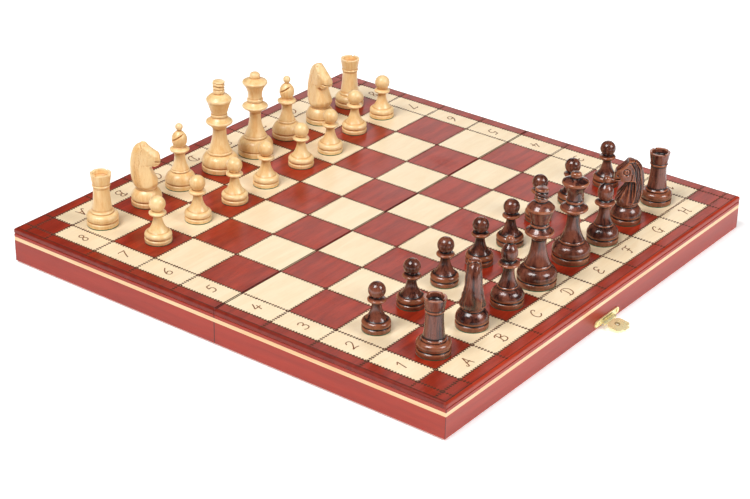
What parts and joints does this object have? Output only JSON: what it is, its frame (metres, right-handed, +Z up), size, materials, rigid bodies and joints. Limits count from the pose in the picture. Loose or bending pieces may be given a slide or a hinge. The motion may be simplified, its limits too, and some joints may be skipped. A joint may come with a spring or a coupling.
{
  "type": "folding magnetic chess set",
  "caption": "Folding wooden magnetic chess box lying open as a board, red and cream squares with a lettered border, brass latch, turned boxwood and walnut-stained chessmen",
  "frame": {"origin": "middle of the open board on the plane of the two rims it lies on", "axes": "+X along the files from A to H, which is also the fold line; +Y from rank 1 to rank 8; +Z up out of the playing surface"},
  "size_m": [0.35, 0.3687, 0.092],
  "materials": {
    "stained_frame_wood": "gloss",
    "printed_veneer": "satin",
    "pale_inlay_wood": "gloss",
    "walnut_stained_wood": "gloss",
    "boxwood": "gloss",
    "polished_brass": "polished",
    "plain_steel": "plain",
    "lining_board": "matte"
  },
  "bodies": {
    "half1": {"half1_inlay": "pale_inlay_wood", "half1_lining": "lining_board", "half1_panel": "printed_veneer", "half1_steel": "plain_steel", "half1_wall_a": "stained_frame_wood", "half1_wall_crease": "stained_frame_wood", "half1_wall_end": "stained_frame_wood", "half1_wall_h": "stained_frame_wood", "hinge_leaves_1": "polished_brass", "hinge_pins": "plain_steel", "hinge_screws_1": "plain_steel", "latch_plate": "polished_brass", "latch_nails": "polished_brass", "latch_pin": "polished_brass"},
    "half5": {"half5_inlay": "pale_inlay_wood", "half5_lining": "lining_board", "half5_panel": "printed_veneer", "half5_steel": "plain_steel", "half5_wall_a": "stained_frame_wood", "half5_wall_crease": "stained_frame_wood", "half5_wall_end": "stained_frame_wood", "half5_wall_h": "stained_frame_wood", "hinge_leaves_5": "polished_brass", "hinge_screws_5": "plain_steel", "catch_plate": "polished_brass", "catch_nails": "polished_brass"},
    "tab": {"latch_tab": "polished_brass"},
    "man_a1": {"a1_dark_rook": "walnut_stained_wood"},
    "man_a2": {"a2_dark_pawn": "walnut_stained_wood"},
    "man_a7": {"a7_light_pawn": "boxwood"},
    "man_a8": {"a8_light_rook": "boxwood"},
    "man_b1": {"b1_dark_knight": "walnut_stained_wood"},
    "man_b2": {"b2_dark_pawn": "walnut_stained_wood"},
    "man_b7": {"b7_light_pawn": "boxwood"},
    "man_b8": {"b8_light_knight": "boxwood"},
    "man_c1": {"c1_dark_bishop": "walnut_stained_wood"},
    "man_c2": {"c2_dark_pawn": "walnut_stained_wood"},
    "man_c7": {"c7_light_pawn": "boxwood"},
    "man_c8": {"c8_light_bishop": "boxwood"},
    "man_d1": {"d1_dark_king": "walnut_stained_wood"},
    "man_d2": {"d2_dark_pawn": "walnut_stained_wood"},
    "man_d7": {"d7_light_pawn": "boxwood"},
    "man_d8": {"d8_light_king": "boxwood"},
    "man_e1": {"e1_dark_queen": "walnut_stained_wood"},
    "man_e2": {"e2_dark_pawn": "walnut_stained_wood"},
    "man_e7": {"e7_light_pawn": "boxwood"},
    "man_e8": {"e8_light_queen": "boxwood"},
    "man_f1": {"f1_dark_bishop": "walnut_stained_wood"},
    "man_f2": {"f2_dark_pawn": "walnut_stained_wood"},
    "man_f7": {"f7_light_pawn": "boxwood"},
    "man_f8": {"f8_light_bishop": "boxwood"},
    "man_g1": {"g1_dark_knight": "walnut_stained_wood"},
    "man_g2": {"g2_dark_pawn": "walnut_stained_wood"},
    "man_g7": {"g7_light_pawn": "boxwood"},
    "man_g8": {"g8_light_knight": "boxwood"},
    "man_h1": {"h1_dark_rook": "walnut_stained_wood"},
    "man_h2": {"h2_dark_pawn": "walnut_stained_wood"},
    "man_h7": {"h7_light_pawn": "boxwood"},
    "man_h8": {"h8_light_rook": "boxwood"}
  },
  "joints": [
    {"name": "fold", "type": "hinge", "parent": "half1", "child": "half5", "pos_m": [0, 0, 0], "axis": [-1, 0, 0], "range_deg": [0, 180]},
    {"name": "latch", "type": "hinge", "parent": "half1", "child": "tab", "pos_m": [0.0008, -0.17715, 0.0024], "axis": [1, 0, 0], "range_deg": [-95, 82.5]},
    {"name": "lift_a1", "type": "slide", "parent": "half1", "child": "man_a1", "axis": [0, 0, 1], "range_m": [0, 0.08]},
    {"name": "lift_a2", "type": "slide", "parent": "half1", "child": "man_a2", "axis": [0, 0, 1], "range_m": [0, 0.08]},
    {"name": "lift_a7", "type": "slide", "parent": "half5", "child": "man_a7", "axis": [0, 0, 1], "range_m": [0, 0.08]},
    {"name": "lift_a8", "type": "slide", "parent": "half5", "child": "man_a8", "axis": [0, 0, 1], "range_m": [0, 0.08]},
    {"name": "lift_b1", "type": "slide", "parent": "half1", "child": "man_b1", "axis": [0, 0, 1], "range_m": [0, 0.08]},
    {"name": "lift_b2", "type": "slide", "parent": "half1", "child": "man_b2", "axis": [0, 0, 1], "range_m": [0, 0.08]},
    {"name": "lift_b7", "type": "slide", "parent": "half5", "child": "man_b7", "axis": [0, 0, 1], "range_m": [0, 0.08]},
    {"name": "lift_b8", "type": "slide", "parent": "half5", "child": "man_b8", "axis": [0, 0, 1], "range_m": [0, 0.08]},
    {"name": "lift_c1", "type": "slide", "parent": "half1", "child": "man_c1", "axis": [0, 0, 1], "range_m": [0, 0.08]},
    {"name": "lift_c2", "type": "slide", "parent": "half1", "child": "man_c2", "axis": [0, 0, 1], "range_m": [0, 0.08]},
    {"name": "lift_c7", "type": "slide", "parent": "half5", "child": "man_c7", "axis": [0, 0, 1], "range_m": [0, 0.08]},
    {"name": "lift_c8", "type": "slide", "parent": "half5", "child": "man_c8", "axis": [0, 0, 1], "range_m": [0, 0.08]},
    {"name": "lift_d1", "type": "slide", "parent": "half1", "child": "man_d1", "axis": [0, 0, 1], "range_m": [0, 0.08]},
    {"name": "lift_d2", "type": "slide", "parent": "half1", "child": "man_d2", "axis": [0, 0, 1], "range_m": [0, 0.08]},
    {"name": "lift_d7", "type": "slide", "parent": "half5", "child": "man_d7", "axis": [0, 0, 1], "range_m": [0, 0.08]},
    {"name": "lift_d8", "type": "slide", "parent": "half5", "child": "man_d8", "axis": [0, 0, 1], "range_m": [0, 0.08]},
    {"name": "lift_e1", "type": "slide", "parent": "half1", "child": "man_e1", "axis": [0, 0, 1], "range_m": [0, 0.08]},
    {"name": "lift_e2", "type": "slide", "parent": "half1", "child": "man_e2", "axis": [0, 0, 1], "range_m": [0, 0.08]},
    {"name": "lift_e7", "type": "slide", "parent": "half5", "child": "man_e7", "axis": [0, 0, 1], "range_m": [0, 0.08]},
    {"name": "lift_e8", "type": "slide", "parent": "half5", "child": "man_e8", "axis": [0, 0, 1], "range_m": [0, 0.08]},
    {"name": "lift_f1", "type": "slide", "parent": "half1", "child": "man_f1", "axis": [0, 0, 1], "range_m": [0, 0.08]},
    {"name": "lift_f2", "type": "slide", "parent": "half1", "child": "man_f2", "axis": [0, 0, 1], "range_m": [0, 0.08]},
    {"name": "lift_f7", "type": "slide", "parent": "half5", "child": "man_f7", "axis": [0, 0, 1], "range_m": [0, 0.08]},
    {"name": "lift_f8", "type": "slide", "parent": "half5", "child": "man_f8", "axis": [0, 0, 1], "range_m": [0, 0.08]},
    {"name": "lift_g1", "type": "slide", "parent": "half1", "child": "man_g1", "axis": [0, 0, 1], "range_m": [0, 0.08]},
    {"name": "lift_g2", "type": "slide", "parent": "half1", "child": "man_g2", "axis": [0, 0, 1], "range_m": [0, 0.08]},
    {"name": "lift_g7", "type": "slide", "parent": "half5", "child": "man_g7", "axis": [0, 0, 1], "range_m": [0, 0.08]},
    {"name": "lift_g8", "type": "slide", "parent": "half5", "child": "man_g8", "axis": [0, 0, 1], "range_m": [0, 0.08]},
    {"name": "lift_h1", "type": "slide", "parent": "half1", "child": "man_h1", "axis": [0, 0, 1], "range_m": [0, 0.08]},
    {"name": "lift_h2", "type": "slide", "parent": "half1", "child": "man_h2", "axis": [0, 0, 1], "range_m": [0, 0.08]},
    {"name": "lift_h7", "type": "slide", "parent": "half5", "child": "man_h7", "axis": [0, 0, 1], "range_m": [0, 0.08]},
    {"name": "lift_h8", "type": "slide", "parent": "half5", "child": "man_h8", "axis": [0, 0, 1], "range_m": [0, 0.08]}
  ]
}
